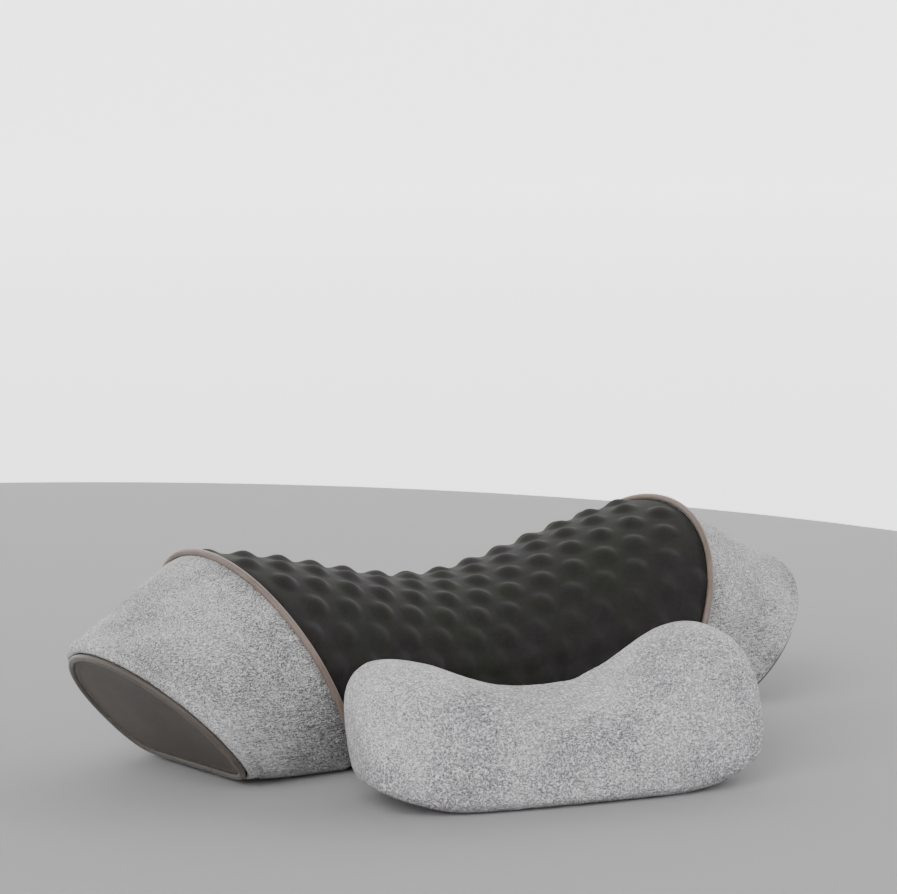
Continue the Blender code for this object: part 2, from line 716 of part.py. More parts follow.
def make_heads():
    """Wheel, output shaft, bushes, carrier plate and two massage nodes on each side."""
    for name, side in SIDES:
        hand = side
        make_worm(name, side, hand)
        make_wheel(name, side, hand)
        x = side * HEAD_X
        shaft = cylinder(SHAFT, FLOOR + 0.6 * MM, CARRIER_Z - GAP, 24)
        add_piece(f"output_shaft_{name}", "steel", shaft, at(x))
        lower = ring_profile(SHAFT + RUN_FIT, 7 * MM, FLOOR + GAP, MESH_Z - WHEEL_FACE / 2 - 1 * MM)
        turned(f"lower_bush_{name}", "brass", lower, 24, at(x))
        upper = [
            (UPPER_BUSH, BOX_TOP + 0.6 * MM),
            (UPPER_BUSH, BOX_TOP - 10 * MM),
            (SHAFT + RUN_FIT, BOX_TOP - 10 * MM),
            (SHAFT + RUN_FIT, BOX_TOP + 0.6 * MM),
        ]
        turned(f"upper_bush_{name}", "brass", upper, 24, at(x))
        make_carrier(name, side)


def make_carrier(name, side):
    x = side * HEAD_X
    plate = cylinder(CARRIER_RADIUS, CARRIER_Z, CARRIER_Z + CARRIER_THICK, 32, (0, 0))
    carrier = add_piece(f"node_carrier_{name}", "chassis_plastic", plate, at(x))
    for index, (word, direction) in enumerate((("front", -1), ("rear", 1))):
        offset = direction * ORBIT
        pin = cylinder(PIN, CARRIER_Z + 1 * MM, BALL_Z + BALL_HALF_HEIGHT - 1.5 * MM, 16, (0, offset))
        boolean(carrier, add_piece(f"node_pin_{name}_{word}", None, pin, at(x)), "UNION")
        profile = [(PIN + GAP, BALL_HALF_HEIGHT * 0.97), (PIN + GAP + 1 * MM, BALL_HALF_HEIGHT)]
        for i in range(1, 6):
            angle = math.pi / 2 - math.pi * i / 6
            radius = 5 * MM + (BALL_RADIUS - 5 * MM) * math.cos(angle)
            profile.append((radius, BALL_HALF_HEIGHT * math.sin(angle)))
        profile += [(PIN + GAP + 1 * MM, -BALL_HALF_HEIGHT), (PIN + GAP, -BALL_HALF_HEIGHT * 0.97)]
        turned(f"massage_node_{name}_{word}", "node_silicone", profile, 16, at(x, offset, BALL_Z))


# ---------------------------------------------------------------- battery and control board


def make_electrics():
    for name, side in SIDES:
        cell = cylinder(CELL_RADIUS, -CELL_HALF, CELL_HALF, 20)
        place = along_x(side * (CELL_HALF + 1 * MM), CELL_Y, FLOOR + CELL_RADIUS + 0.4 * MM)
        add_piece(f"battery_cell_{name}", "cell_wrap", cell, place)
    board = box((80 * MM, -27 * MM, FLOOR + 1 * MM), (81.6 * MM, 27 * MM, BOX_TOP - 6 * MM))
    add_piece("control_board", "circuit_board", board)


# ---------------------------------------------------------------- neck pad


def pad_frame():
    return at(*PAD_CENTRE) @ Matrix.Rotation(PAD_TURN, 4, "Z")


def pad_ring(share, inset):
    """A section of the pad, share running from -1 to 1 along its spine."""
    along = math.sin(share * math.pi / 2)
    end = (1 - abs(along) ** PAD_END_POWER) ** (1 / PAD_END_POWER)
    rise = math.sin(math.pi / 2 * min(abs(along) / PAD_RISE_AT, 1.0)) ** PAD_RISE_POWER
    top = PAD_LOW + PAD_RISE[along > 0] * rise - inset
    bent = max(abs(along) - PAD_FLAT_SHARE, 0.0) / (1 - PAD_FLAT_SHARE)
    floor = inset + PAD_ROCK * bent**2
    height = (top - inset + PAD_SINK) / 2 * end
    centre = (top + inset - PAD_SINK) / 2
    depth = (PAD_DEPTH - inset) * end
    turn = pad_frame()
    made = []
    for i in range(PAD_POINTS):
        angle = 2 * math.pi * i / PAD_POINTS - math.pi / 2
        across = depth * power_cosine(angle, PAD_ROUNDNESS)
        up = height * power_cosine(angle - math.pi / 2, PAD_ROUNDNESS)
        lean = PAD_LEAN * (height + up)
        level = soft_floor(centre + up, floor, PAD_BLEND)
        made.append(turn @ Vector((along * (PAD_HALF - inset), across + lean, level)))
    return made


def pad_solid(inset):
    shares = body_stations(-PAD_LIMIT, PAD_LIMIT, PAD_STATIONS)
    return solid_loft([pad_ring(share, inset) for share in shares])


def make_neck_pad():
    cover = add_piece("neck_pad_cover", "heather_grey_knit", pad_solid(0.0))
    boolean(cover, add_piece("neck_pad_hollow", None, pad_solid(FABRIC)))
    half_x, half_y = PAD_OPENING_HALF
    opening = box((-half_x, -half_y, -2 * FABRIC), (half_x, half_y, 2 * FABRIC))
    boolean(cover, add_piece("neck_pad_opening", None, opening, pad_frame()))
    add_piece("neck_pad_core", "foam", pad_solid(FABRIC + 2 * SOFT_GAP))


make_covers()
make_heating_film()
make_foam()
make_piping()
make_caps()
make_chassis()
make_motor()
make_heads()
make_electrics()
make_neck_pad()
bpy.context.view_layer.update()
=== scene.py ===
"""Looks of the shiatsu neck massager: a saddle-shaped massage pillow in charcoal knit over rows of soft
nubs, with heather-grey end covers, taupe piping and flat end caps, and the loose neck pad in front."""

import json
import math

import bmesh
import bpy
import numpy as np
from mathutils import Matrix, Vector


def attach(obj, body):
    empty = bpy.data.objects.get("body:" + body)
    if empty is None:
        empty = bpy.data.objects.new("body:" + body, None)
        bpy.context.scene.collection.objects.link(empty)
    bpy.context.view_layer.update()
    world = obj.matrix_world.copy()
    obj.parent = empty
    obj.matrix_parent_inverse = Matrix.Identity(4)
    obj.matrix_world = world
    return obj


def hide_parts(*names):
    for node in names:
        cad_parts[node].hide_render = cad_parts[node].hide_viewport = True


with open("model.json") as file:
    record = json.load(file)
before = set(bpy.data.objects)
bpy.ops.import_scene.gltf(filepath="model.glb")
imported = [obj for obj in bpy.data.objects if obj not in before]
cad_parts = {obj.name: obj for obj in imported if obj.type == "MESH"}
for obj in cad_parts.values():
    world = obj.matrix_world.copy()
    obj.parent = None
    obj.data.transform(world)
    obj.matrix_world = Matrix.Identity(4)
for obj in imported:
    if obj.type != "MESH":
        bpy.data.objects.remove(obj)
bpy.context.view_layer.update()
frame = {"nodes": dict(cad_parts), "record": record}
nodes = frame["nodes"]
MM = 0.001


# ------------------------------------------------------------------ studio
# A pale grey mat on a wide white floor that sweeps up into a wall far away, and glows behind the object.
# Soft light comes from high on the left, with a weaker fill from the front.  The camera stands at the
# left front and looks down a little.

EYE = Vector((-1.2202, -1.6227, 0.4297))
LOOK = Vector((0.5974, 0.7907, -0.1336))
ROLL = -0.005
LENS = 150.84
MAT_RADIUS = 0.90
MAT_CENTRE = (-0.21, 0.24)
FAR_SECTOR = math.cos(math.radians(55))  # half the sector that glows behind the object
FAR_FROM = 0.5
STAGE_SIDES = 96
FLOOR_LEVEL = -4 * MM
FLOOR_RADIUS = 4.5
WALL_CURVE = 1.2
WALL_TOP = 7.0


def stage_finish(name, colour, glow=0.0):
    """Matt paint, with a faint glow of its own if it is asked for."""
    made = bpy.data.materials.new(name)
    made.use_nodes = True
    shader = made.node_tree.nodes["Principled BSDF"]
    shader.inputs["Base Color"].default_value = colour
    shader.inputs["Roughness"].default_value = 0.9
    shader.inputs["Specular IOR Level"].default_value = 0.1
    shader.inputs["Emission Color"].default_value = (1.0, 1.0, 1.0, 1.0)
    shader.inputs["Emission Strength"].default_value = glow
    return made


def turned_stage(name, profile, material, far_material=None, centre=(0.0, 0.0)):
    """A stage piece turned about a vertical from (radius, height) pairs.  Lamps shine through it."""
    count = STAGE_SIDES
    cx, cy = centre
    points = [(cx, cy, profile[0][1])]
    for radius, height in profile:
        for i in range(count):
            angle = 2 * math.pi * i / count
            points.append((cx + radius * math.cos(angle), cy + radius * math.sin(angle), height))
    faces = [(0, 1 + i, 1 + (i + 1) % count) for i in range(count)]
    for row in range(len(profile) - 1):
        for i in range(count):
            a, b = 1 + row * count + i, 1 + row * count + (i + 1) % count
            faces.append((a, a + count, b + count, b))
    mesh = bpy.data.meshes.new(name)
    mesh.from_pydata(points, [], faces)
    mesh.shade_smooth()
    mesh.materials.append(material)
    if far_material:
        mesh.materials.append(far_material)
        ahead = Vector(LOOK[:2]).normalized()
        for face in mesh.polygons:
            spot = face.center.xy
            if spot.length > FAR_FROM and spot.normalized().dot(ahead) > FAR_SECTOR:
                face.material_index = 1
    piece = bpy.data.objects.new(name, mesh)
    piece.visible_shadow = False
    bpy.context.scene.collection.objects.link(piece)


def add_camera():
    """The camera at its fixed place, turned along LOOK and rolled a little."""
    data = bpy.data.cameras.new("camera")
    data.lens = LENS
    data.sensor_width = 36
    data.clip_end = 50
    camera = bpy.data.objects.new("camera", data)
    turn = LOOK.to_track_quat("-Z", "Y").to_matrix().to_4x4()
    camera.matrix_world = Matrix.Translation(EYE) @ turn @ Matrix.Rotation(ROLL, 4, "Z")
    bpy.context.scene.collection.objects.link(camera)
    bpy.context.scene.camera = camera


def add_sun(name, direction, spread, strength, tone):
    """A distant lamp whose light comes from this direction."""
    data = bpy.data.lights.new(name, "SUN")
    data.angle = spread
    data.energy = strength
    data.color = tone
    lamp = bpy.data.objects.new(name, data)
    lamp.matrix_world = Vector(direction).to_track_quat("Z", "Y").to_matrix().to_4x4()
    bpy.context.scene.collection.objects.link(lamp)


curve_steps = [math.pi / 2 * i / 12 for i in range(1, 13)]
wall = [(FLOOR_RADIUS + WALL_CURVE * math.sin(a), WALL_CURVE * (1 - math.cos(a))) for a in curve_steps]
wall.append((FLOOR_RADIUS + WALL_CURVE, WALL_TOP))
white = stage_finish("white_floor", (0.80, 0.80, 0.805, 1.0), 0.10)
bright = stage_finish("bright_backdrop", (0.86, 0.86, 0.865, 1.0), 1.5)
grey = stage_finish("grey_mat", (0.40, 0.393, 0.40, 1.0))
turned_stage("floor", [(1.0, FLOOR_LEVEL), (FLOOR_RADIUS, FLOOR_LEVEL), *wall], white, bright)
mat_edge = [(MAT_RADIUS - 0.01, 0.0), (MAT_RADIUS, -0.001), (MAT_RADIUS, -0.003)]
turned_stage("mat", mat_edge, grey, centre=MAT_CENTRE)
add_camera()
add_sun("key", (-1.0, -0.50, 0.78), 0.9, 2.25, (1.0, 0.995, 0.985))
add_sun("fill", (-0.6, -1.0, 0.35), 1.2, 0.55, (0.98, 0.99, 1.0))
world = bpy.data.worlds.new("studio")
world.use_nodes = True
world.node_tree.nodes["Background"].inputs["Color"].default_value = (0.97, 0.975, 1.0, 1.0)
world.node_tree.nodes["Background"].inputs["Strength"].default_value = 0.07
bpy.context.scene.world = world


# ------------------------------------------------------------------ drive, chassis and electrics
# The moulded box in the foam with its motor, worms, wheels and massage heads: nylon, steel, brass and
# silicone rubber pieces, screwed and pressed together.  Their shapes come from the frame as they are.


class Wire:
    """A socket of a node tree.  Sums on wires add Math nodes; colours and vectors use node()."""

    def __init__(self, tree, socket):
        self.tree = tree
        self.socket = socket

    def node(self, kind, settings=None, inputs=None, output=0):
        """A node of any kind: its settings first, then the values or wires of its inputs."""
        made = self.tree.nodes.new(kind)
        for name, value in (settings or {}).items():
            setattr(made, name, value)
        for name, value in (inputs or {}).items():
            if isinstance(value, Wire):
                self.tree.links.new(value.socket, made.inputs[name])
            else:
                made.inputs[name].default_value = value
        return Wire(self.tree, made.outputs[output])

    def math(self, operation, first, second=0.0):
        """One Math node on two wires or numbers."""
        return self.node("ShaderNodeMath", {"operation": operation}, {0: first, 1: second})

    def __add__(self, other):
        return self.math("ADD", self, other)

    def __radd__(self, other):
        return self.math("ADD", other, self)

    def __sub__(self, other):
        return self.math("SUBTRACT", self, other)

    def __rsub__(self, other):
        return self.math("SUBTRACT", other, self)

    def __mul__(self, other):
        return self.math("MULTIPLY", self, other)

    def __rmul__(self, other):
        return self.math("MULTIPLY", other, self)

    def __truediv__(self, other):
        return self.math("DIVIDE", self, other)

    def clamp(self, low, high):
        """0 below low and 1 above high, with a soft ramp between."""
        settings = {"interpolation_type": "SMOOTHSTEP"}
        span = {"Value": self, "From Min": low, "From Max": high}
        return self.node("ShaderNodeMapRange", settings, span)

    def noise(self, scale, detail=2.0, roughness=0.5):
        """Noise with this many features a metre, read at this vector."""
        inputs = {"Vector": self, "Scale": scale, "Detail": detail, "Roughness": roughness}
        return self.node("ShaderNodeTexNoise", None, inputs)

    def stretched(self, scale, turn=(0.0, 0.0, 0.0)):
        """This vector turned, then scaled along each axis."""
        return self.node("ShaderNodeMapping", None, {"Vector": self, "Scale": scale, "Rotation": turn})

    def mix(self, low, high):
        """A colour between low and high by this share."""
        settings = {"data_type": "RGBA"}
        return self.node("ShaderNodeMix", settings, {0: self, 6: low, 7: high}, 2)

    def bump(self, distance, strength=1.0):
        """A normal from this height."""
        return self.node(
            "ShaderNodeBump", None, {"Height": self, "Distance": distance, "Strength": strength}
        )


class Finish:
    """A material whose Principled shader takes plain values or wires by the name of its socket."""

    def __init__(self, name, **uniform):
        self.material = bpy.data.materials.new(name)
        self.material.use_nodes = True
        self.tree = self.material.node_tree
        self.shader = self.tree.nodes["Principled BSDF"]
        coordinates = self.tree.nodes.new("ShaderNodeTexCoord")
        self.place = Wire(self.tree, coordinates.outputs["Object"])
        for socket, value in uniform.items():
            self.set(socket.replace("_", " "), value)

    def set(self, socket, value):
        """Sets one socket of the shader to a plain value or a wire."""
        if isinstance(value, Wire):
            self.tree.links.new(value.socket, self.shader.inputs[socket])
        else:
            self.shader.inputs[socket].default_value = value


def tone(r, g, b):
    """An opaque colour."""
    return (r, g, b, 1.0)


def moulded_plastic(name, dark, light, grain=2600.0):
    """Spark-textured plastic: fine grain, a little uneven in gloss."""
    finish = Finish(name)
    broad = finish.place.noise(38.0, 3.0)
    fine = finish.place.noise(grain, 2.0)
    finish.set("Base Color", broad.mix(dark, light))
    finish.set("Roughness", broad * 0.12 + 0.45)
    finish.set("Normal", fine.bump(0.00006, 0.6))
    return finish.material


def turned_metal(name, dark, light, rough):
    """Machined metal: fine tool lines and slight tarnish."""
    finish = Finish(name, Metallic=1.0)
    lines = finish.place.stretched((120.0, 2600.0, 2600.0)).noise(1.0, 2.0)
    tarnish = finish.place.noise(160.0, 4.0, 0.6)
    finish.set("Base Color", tarnish.mix(dark, light))
    finish.set("Roughness", lines * 0.16 + rough)
    finish.set("Normal", lines.bump(0.00003, 0.5))
    return finish.material


def wound_copper(name):
    """Lacquered wire, laid side by side."""
    finish = Finish(name, Metallic=1.0)
    wave = finish.place.node(
        "ShaderNodeTexWave",
        {"bands_direction": "Y"},
        {"Vector": finish.place, "Scale": 420.0, "Distortion": 1.5, "Detail": 1.0},
        1,
    )
    finish.set("Base Color", wave.mix(tone(0.30, 0.09, 0.03), tone(0.80, 0.36, 0.16)))
    finish.set("Roughness", wave * 0.15 + 0.28)
    finish.set("Normal", wave.bump(0.00015, 0.7))
    return finish.material


def silicone_rubber(name):
    """Matt silicone over the massage nodes, with a dusty bloom."""
    finish = Finish(name, Specular_IOR_Level=0.4)
    bloom = finish.place.noise(210.0, 4.0, 0.6)
    finish.set("Base Color", bloom.mix(tone(0.42, 0.11, 0.06), tone(0.60, 0.20, 0.12)))
    finish.set("Roughness", bloom * 0.2 + 0.5)
    finish.set("Normal", finish.place.noise(1900.0).bump(0.00005, 0.6))
    return finish.material


def circuit_board(name):
    """Green solder mask with copper tracks showing faintly through it and small parts printed on."""
    finish = Finish(name)
    settings = {"feature": "F1", "distance": "CHEBYCHEV"}
    cells = finish.place.node(
        "ShaderNodeTexVoronoi", settings, {"Vector": finish.place, "Scale": 260.0}, 0
    )
    tracks = cells.clamp(0.30, 0.36) * (1.0 - cells.clamp(0.42, 0.48))
    finish.set("Base Color", tracks.mix(tone(0.012, 0.085, 0.035), tone(0.05, 0.24, 0.09)))
    finish.set("Roughness", 0.5 - tracks * 0.15)
    finish.set("Normal", tracks.bump(0.00008, 0.7))
    return finish.material


def cell_wrap(name):
    """Shrink film over a battery cell, slightly rippled."""
    finish = Finish(name, Coat_Roughness=0.2)
    ripple = finish.place.stretched((60.0, 240.0, 240.0)).noise(1.0, 2.0)
    finish.set("Base Color", ripple.mix(tone(0.03, 0.10, 0.33), tone(0.06, 0.18, 0.48)))
    finish.set("Roughness", ripple * 0.15 + 0.3)
    finish.set("Coat Weight", ripple * 0.5)
    finish.set("Normal", ripple.bump(0.0002, 0.5))
    return finish.material


def open_cell_foam(name):
    """Moulded polyurethane foam: fine pores and a few larger ones."""
    finish = Finish(name, Specular_IOR_Level=0.2)
    pores = finish.place.node(
        "ShaderNodeTexVoronoi", {"feature": "F1"}, {"Vector": finish.place, "Scale": 700.0}, 0
    )
    shade = pores.clamp(0.15, 0.6) + finish.place.noise(30.0, 3.0) * 0.3
    finish.set("Base Color", shade.mix(tone(0.50, 0.46, 0.36), tone(0.78, 0.75, 0.65)))
    finish.set("Roughness", 1.0 - pores * 0.1)
    finish.set("Normal", pores.bump(0.0005, 0.8))
    return finish.material


def heating_film(name):
    """Amber film with a printed heating track that folds to and fro."""
    finish = Finish(name, IOR=1.6)
    wave = finish.place.node(
        "ShaderNodeTexWave",
        {"bands_direction": "X"},
        {"Vector": finish.place, "Scale": 34.0, "Distortion": 0.6, "Detail": 0.0},
        1,
    )
    track = wave.clamp(0.72, 0.80)
    finish.set("Base Color", track.mix(tone(0.42, 0.17, 0.03), tone(0.20, 0.14, 0.10)))
    finish.set("Metallic", track * 0.7)
    finish.set("Roughness", 0.35 + track * 0.1)
    finish.set("Normal", track.bump(0.0001, 0.6))
    return finish.material


CHARCOAL = (tone(0.030, 0.030, 0.032), tone(0.050, 0.050, 0.052))
NYLON = (tone(0.66, 0.64, 0.56), tone(0.78, 0.77, 0.70))
STEEL = (tone(0.36, 0.37, 0.39), tone(0.60, 0.61, 0.63))
BRASS = (tone(0.50, 0.35, 0.12), tone(0.78, 0.60, 0.28))

inner_finishes = {
    "chassis_plastic": moulded_plastic("chassis_plastic", *CHARCOAL),
    "gear_nylon": moulded_plastic("gear_nylon", *NYLON, 1800.0),
    "steel": turned_metal("turned_steel", *STEEL, 0.24),
    "brass": turned_metal("turned_brass", *BRASS, 0.22),
    "copper": wound_copper("wound_copper"),
    "node_rubber": silicone_rubber("silicone_rubber"),
    "circuit_board": circuit_board("circuit_board"),
    "cell_wrap": cell_wrap("cell_wrap"),
    "foam": open_cell_foam("open_cell_foam"),
    "heating_film": heating_film("heating_film"),
}


def finish_inner_nodes():
    """Gives each node of the frame the finish that its slot in the record names."""
    for row in frame["record"]["subparts"]:
        material = inner_finishes.get(row["material_slot"])
        if material is None:
            continue
        mesh = nodes[row["node"]].data
        mesh.materials.clear()
        mesh.materials.append(material)


finish_inner_nodes()


# ------------------------------------------------------------------ massage cover
# The middle of the pillow is a sleeve of charcoal stretch knit, pulled over foam with staggered rows of
# soft nubs.  It is sewn to the end covers in the seams under the ring piping, where its edge dips.

MIDDLE = (0.0, 36 * MM, 66 * MM, 49 * MM, 0.0, 0.0)
SEAM = (122.2 * MM, 43.1 * MM, 73.4 * MM, 77.7 * MM, 25.8, 0.0)
END = (185.3 * MM, 28.1 * MM, 60.0 * MM, 60.0 * MM, 44.0, -7.5 * MM)
ROUNDNESS = 2.05
BOTTOM_BLEND = 8 * MM
END_BLEND = 16 * MM
END_LIFT = 2.0 * MM
FABRIC = 2.4 * MM
SEAM_DIP = 1.1 * MM
COVER_AROUND = 300
COVER_ALONG = 200
NUB_ROWS = 17
NUB_PITCH = 22 * MM
NUB_RADIUS = 9.2 * MM
NUB_HEIGHT = 2.9 * MM
NUB_MARGIN = 7 * MM  # clear of the seam
NUB_FIRST = 0.16  # share of the way round, from the base, of the first row
NUB_SPAN = 0.68
NUB_TRACK = 400
COVER_REACH = 0.996  # stops just short of the seam
COVER_INSIDE = 16
SEAM_WIDTH = 6 * MM


def mixed(a, b, t):
    """From a to b by the share t."""
    return a + (b - a) * t


def eased(t):
    """A smooth step from 0 to 1, held outside them."""
    t = min(max(t, 0.0), 1.0)
    return t * t * (3 - 2 * t)


def power_cosine(angle, roundness):
    """The cosine of a rounded square: an ellipse at 2, squarer above."""
    c = math.cos(angle)
    return math.copysign(abs(c) ** (2 / roundness), c)


def soft_floor(value, floor, blend):
    """The larger of value and floor, with a rounded meeting."""
    if value <= floor - blend:
        return floor
    if value >= floor + blend:
        return value
    return floor + (value - floor + blend) ** 2 / (4 * blend)


def body_section(station):
    """Centre x and z, half width and height, tilt and centre y: 0 is the middle, 1 the seam, 2 the end."""
    if station <= 1:
        swell = 0.5 * (math.sin(math.pi * station / 2) ** 2 + station**2)
        return (
            SEAM[0] * station,
            mixed(MIDDLE[1], SEAM[1], swell),
            mixed(MIDDLE[2], SEAM[2], station**2),
            mixed(MIDDLE[3], SEAM[3], swell),
            SEAM[4] * station,
            0.0,
        )
    return tuple(mixed(a, b, station - 1) for a, b in zip(SEAM, END))


def body_point(station, share, inset=0.0):
    """A point of the pillow's skin.  station is signed; share runs once round from the base."""
    cx, cz, half_y, half_s, tilt, cy = body_section(abs(station))
    lean = math.radians(tilt)
    lift = END_LIFT * eased((abs(station) - 1.6) / 0.4)
    floor = (lift + max(inset, 0.0) - cz) / math.cos(lean)
    blend = mixed(BOTTOM_BLEND, END_BLEND, max(abs(station) - 1, 0.0))
    angle = 2 * math.pi * share - math.pi / 2
    across = (half_y - inset) * power_cosine(angle, ROUNDNESS)
    up = (half_s - inset) * power_cosine(angle - math.pi / 2, ROUNDNESS)
    up = soft_floor(up, floor, blend)
    x = cx + up * math.sin(lean)
    return Vector((math.copysign(1.0, station) * x, cy + across, cz + up * math.cos(lean)))


def body_ring(station, count, inset=0.0):
    """One turn of the skin at a station."""
    return [body_point(station, i / count, inset) for i in range(count)]


def mesh_of_rings(name, rings, loop=False, caps=False):
    """Quads between rings of points: a tube, a closed wall if loop is set, or a capped solid."""
    count = len(rings[0])
    points = [p for ring in rings for p in ring]
    pairs = [(i, (i + 1) % len(rings)) for i in range(len(rings) if loop else len(rings) - 1)]
    faces = []
    for low, high in pairs:
        for i in range(count):
            j = (i + 1) % count
            faces.append((low * count + i, low * count + j, high * count + j, high * count + i))
    if caps:
        faces.append(tuple(range(count)))
        faces.append(tuple(range(len(points) - count, len(points))))
    mesh = bpy.data.meshes.new(name)
    mesh.from_pydata(points, [], faces)
    bm = bmesh.new()
    bm.from_mesh(mesh)
    bmesh.ops.recalc_face_normals(bm, faces=bm.faces[:])
    bm.to_mesh(mesh)
    bm.free()
    mesh.shade_smooth()
    obj = bpy.data.objects.new(name, mesh)
    bpy.context.scene.collection.objects.link(obj)
    return obj


def plain_mesh(obj):
    """Turns an object with modifiers into one with the mesh that they make."""
    bpy.context.view_layer.update()
    graph = bpy.context.evaluated_depsgraph_get()
    mesh = bpy.data.meshes.new_from_object(obj.evaluated_get(graph))
    mesh.name = obj.name
    obj.modifiers.clear()
    obj.data = mesh
    return obj


def finished(obj, material, body, slot, *replaced):
    """Gives a piece its material and body and hides the frame's nodes that it stands for; slot is not
    used.
    """
    obj.data.materials.clear()
    obj.data.materials.append(material)
    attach(obj, body)
    if replaced:
        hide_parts(*replaced)
    return obj


def charcoal_knit():
    """Fine matt stretch knit: tiny loops, a green and a plum cast, and a bloom at grazing angles."""
    finish = Finish("charcoal_knit", Sheen_Weight=0.06, Sheen_Roughness=0.5, Specular_IOR_Level=0.12)
    finish.set("Sheen Tint", tone(0.8, 0.8, 0.78))
    cast = finish.place.noise(14.0, 3.0, 0.6)
    loops = finish.place.stretched((1500.0, 1050.0, 1050.0)).noise(1.0, 2.0, 0.6)
    worn = finish.place.noise(75.0, 4.0, 0.6)
    colour = cast.clamp(0.35, 0.65).mix(tone(0.0250, 0.0258, 0.0212), tone(0.0262, 0.0236, 0.0244))
    shade = (loops * 0.6 + worn * 0.4).clamp(0.3, 0.7)
    darker = shade.node(
        "ShaderNodeMix",
        {"data_type": "RGBA", "blend_type": "MULTIPLY"},
        {0: 0.45, 6: colour, 7: shade.mix(tone(0.55, 0.55, 0.55), tone(1.25, 1.25, 1.25))},
        2,
    )
    finish.set("Base Color", darker)
    finish.set("Roughness", worn * 0.12 + 0.78)
    finish.set("Normal", loops.bump(0.00025, 0.8))
    return finish.material


def nub_centres():
    """Where the nubs stand: rows along the pillow, every second row set off by half a pitch."""
    centres = []
    for row in range(NUB_ROWS):
        share = NUB_FIRST + NUB_SPAN * row / (NUB_ROWS - 1)
        track = [body_point(mixed(-1, 1, i / NUB_TRACK), share) for i in range(NUB_TRACK + 1)]
        walked = [0.0]
        for a, b in zip(track, track[1:]):
            walked.append(walked[-1] + (b - a).length)
        middle = walked[-1] / 2
        reach = middle - NUB_MARGIN
        offset = NUB_PITCH / 2 if row % 2 else 0.0
        spots = np.arange(-20, 21) * NUB_PITCH + offset
        for spot in spots[np.abs(spots) <= reach]:
            index = int(np.searchsorted(walked, middle + spot))
            centres.append(track[index])
    return centres


def nub_tree():
    """Raises the skin in a round dome over each nub point."""
    tree = bpy.data.node_groups.new("nubs", "GeometryNodeTree")
    tree.is_modifier = True
    face = tree.interface
    face.new_socket("Geometry", in_out="OUTPUT", socket_type="NodeSocketGeometry")
    face.new_socket("Geometry", in_out="INPUT", socket_type="NodeSocketGeometry")
    face.new_socket("Nub centres", in_out="INPUT", socket_type="NodeSocketObject")
    face.new_socket("Nub radius", in_out="INPUT", socket_type="NodeSocketFloat")
    face.new_socket("Nub height", in_out="INPUT", socket_type="NodeSocketFloat")
    face.new_socket("Material", in_out="INPUT", socket_type="NodeSocketMaterial")
    entry = tree.nodes.new("NodeGroupInput")
    geometry, centres, radius, height, material = (Wire(tree, s) for s in entry.outputs[:5])
    points = geometry.node("GeometryNodeObjectInfo", None, {"Object": centres}, "Geometry")
    near = geometry.node(
        "GeometryNodeProximity", {"target_element": "POINTS"}, {0: points}, "Distance"
    )
    share = geometry.math("MINIMUM", near / radius, 1.0)
    dome = 1.0 - share * share
    dome = dome * dome * height
    outside = geometry.node("GeometryNodeInputNamedAttribute", None, {"Name": "outside"}, "Attribute")
    normal = geometry.node("GeometryNodeInputNormal")
    offset = geometry.node(
        "ShaderNodeVectorMath", {"operation": "SCALE"}, {0: normal, "Scale": dome * outside}
    )
    raised = geometry.node("GeometryNodeSetPosition", None, {"Geometry": geometry, "Offset": offset})
    real = raised.node("GeometryNodeRealizeInstances", None, {"Geometry": raised})
    done = real.node("GeometryNodeSetMaterial", None, {"Geometry": real, "Material": material})
    leave = tree.nodes.new("NodeGroupOutput")
    tree.links.new(done.socket, leave.inputs[0])
    return tree


def run_tree(obj, tree, **inputs):
    """Applies a geometry tree to an object, its inputs set by their names."""
    modifier = obj.modifiers.new(tree.name, "NODES")
    modifier.node_group = tree
    for item in tree.interface.items_tree:
        value = inputs.get(item.name.replace(" ", "_")) if item.in_out == "INPUT" else None
        if value is not None:
            modifier[item.identifier] = value
    return plain_mesh(obj)


def dipped(depth, distance, width):
    """How far the cloth sinks at this distance from a seam."""
    return depth * (1 - eased(distance / width)) if distance < width else 0.0


def make_massage_cover():
    """The sleeve: an outer skin with nubs and dipped edges, closed by its own inner face."""
    outer, inner = [], []
    for i in range(COVER_ALONG + 1):
        station = mixed(-COVER_REACH, COVER_REACH, i / COVER_ALONG)
        dip = dipped(SEAM_DIP, (1 - abs(station)) * SEAM[0], SEAM_WIDTH)
        outer.append(body_ring(station, COVER_AROUND, dip))
    for i in range(COVER_INSIDE + 1):
        station = mixed(COVER_REACH, -COVER_REACH, i / COVER_INSIDE)
        inner.append(body_ring(station, COVER_AROUND, FABRIC))
    cover = mesh_of_rings("massage_cover_knit", outer + inner, loop=True)
    flags = np.zeros(len(cover.data.vertices), np.float32)
    flags[: len(outer) * COVER_AROUND] = 1.0
    cover.data.attributes.new("outside", "FLOAT", "POINT").data.foreach_set("value", flags)
    spots = bpy.data.meshes.new("nub_centres")
    spots.from_pydata(nub_centres(), [], [])
    spots_object = bpy.data.objects.new("nub_centres", spots)
    bpy.context.scene.collection.objects.link(spots_object)
    material = charcoal_knit()
    run_tree(
        cover,
        nub_tree(),
        Nub_centres=spots_object,
        Nub_radius=NUB_RADIUS,
        Nub_height=NUB_HEIGHT,
        Material=material,
    )
    bpy.data.objects.remove(spots_object)
    cover.data.attributes.remove(cover.data.attributes["outside"])
    cover.data.shade_smooth()
    finished(cover, material, "pillow", "massage_knit", "massage_cover")


make_massage_cover()


# ------------------------------------------------------------------ end covers
# Each end is a sleeve of heather-grey knit over a foam block.  It is sewn to the massage cover under the
# ring piping and turns over a soft lip at the end cap, where the cap's piping holds it.

